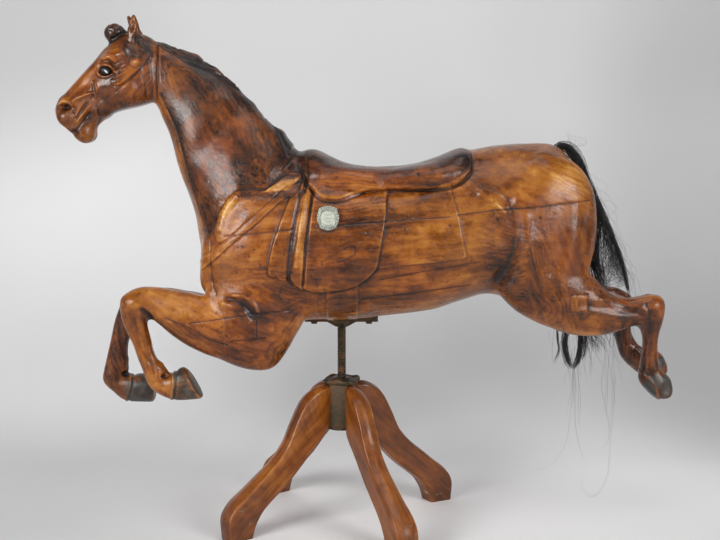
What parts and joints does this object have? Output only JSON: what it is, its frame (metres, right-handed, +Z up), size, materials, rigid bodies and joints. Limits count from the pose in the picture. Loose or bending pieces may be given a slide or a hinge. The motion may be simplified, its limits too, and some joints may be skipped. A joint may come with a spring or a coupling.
{
  "type": "carousel horse on a swivel stand",
  "caption": "Carved and varnished wooden carousel horse in a leaping pose with a carved saddle and a horsehair tail, mounted on the iron screw of a splayed wooden swivel stand.",
  "frame": {"origin": "on the floor, under the middle of the whole object's plan; the screw's axis stands at x = -65 mm, y = 12.7 mm", "axes": "+X from the horse's nose towards its tail, +Y towards its far (right) side, +Z up"},
  "size_m": [1.394, 0.5139, 1.14],
  "materials": {
    "varnished_wood": "aged honey to chestnut varnish with dark stain in the carving, satin gloss",
    "stand_wood": "smooth orange-brown varnish, satin gloss",
    "iron": "dark brown iron with a thin film of rust",
    "eye_glass": "dark polished glass",
    "badge_metal": "pale tarnished silver with a green bloom",
    "horsehair": "coarse black horsehair"
  },
  "bodies": {
    "stand": {"cap": "iron", "column": "iron", "leg_1": "stand_wood", "leg_2": "stand_wood", "leg_3": "stand_wood", "leg_4": "stand_wood"},
    "horse": {"horse": "varnished_wood", "eye_left": "eye_glass", "eye_right": "eye_glass", "badge": "badge_metal", "tail": "horsehair", "mounting_cross": "iron", "screw": "iron", "cross_screw_1": "iron", "cross_screw_2": "iron"}
  },
  "joints": [
    {"name": "swivel", "type": "hinge", "parent": "stand", "child": "horse", "pos_m": [-0.065, 0.0127, 0.33], "axis": [0, 0, 1], "continuous": true}
  ]
}
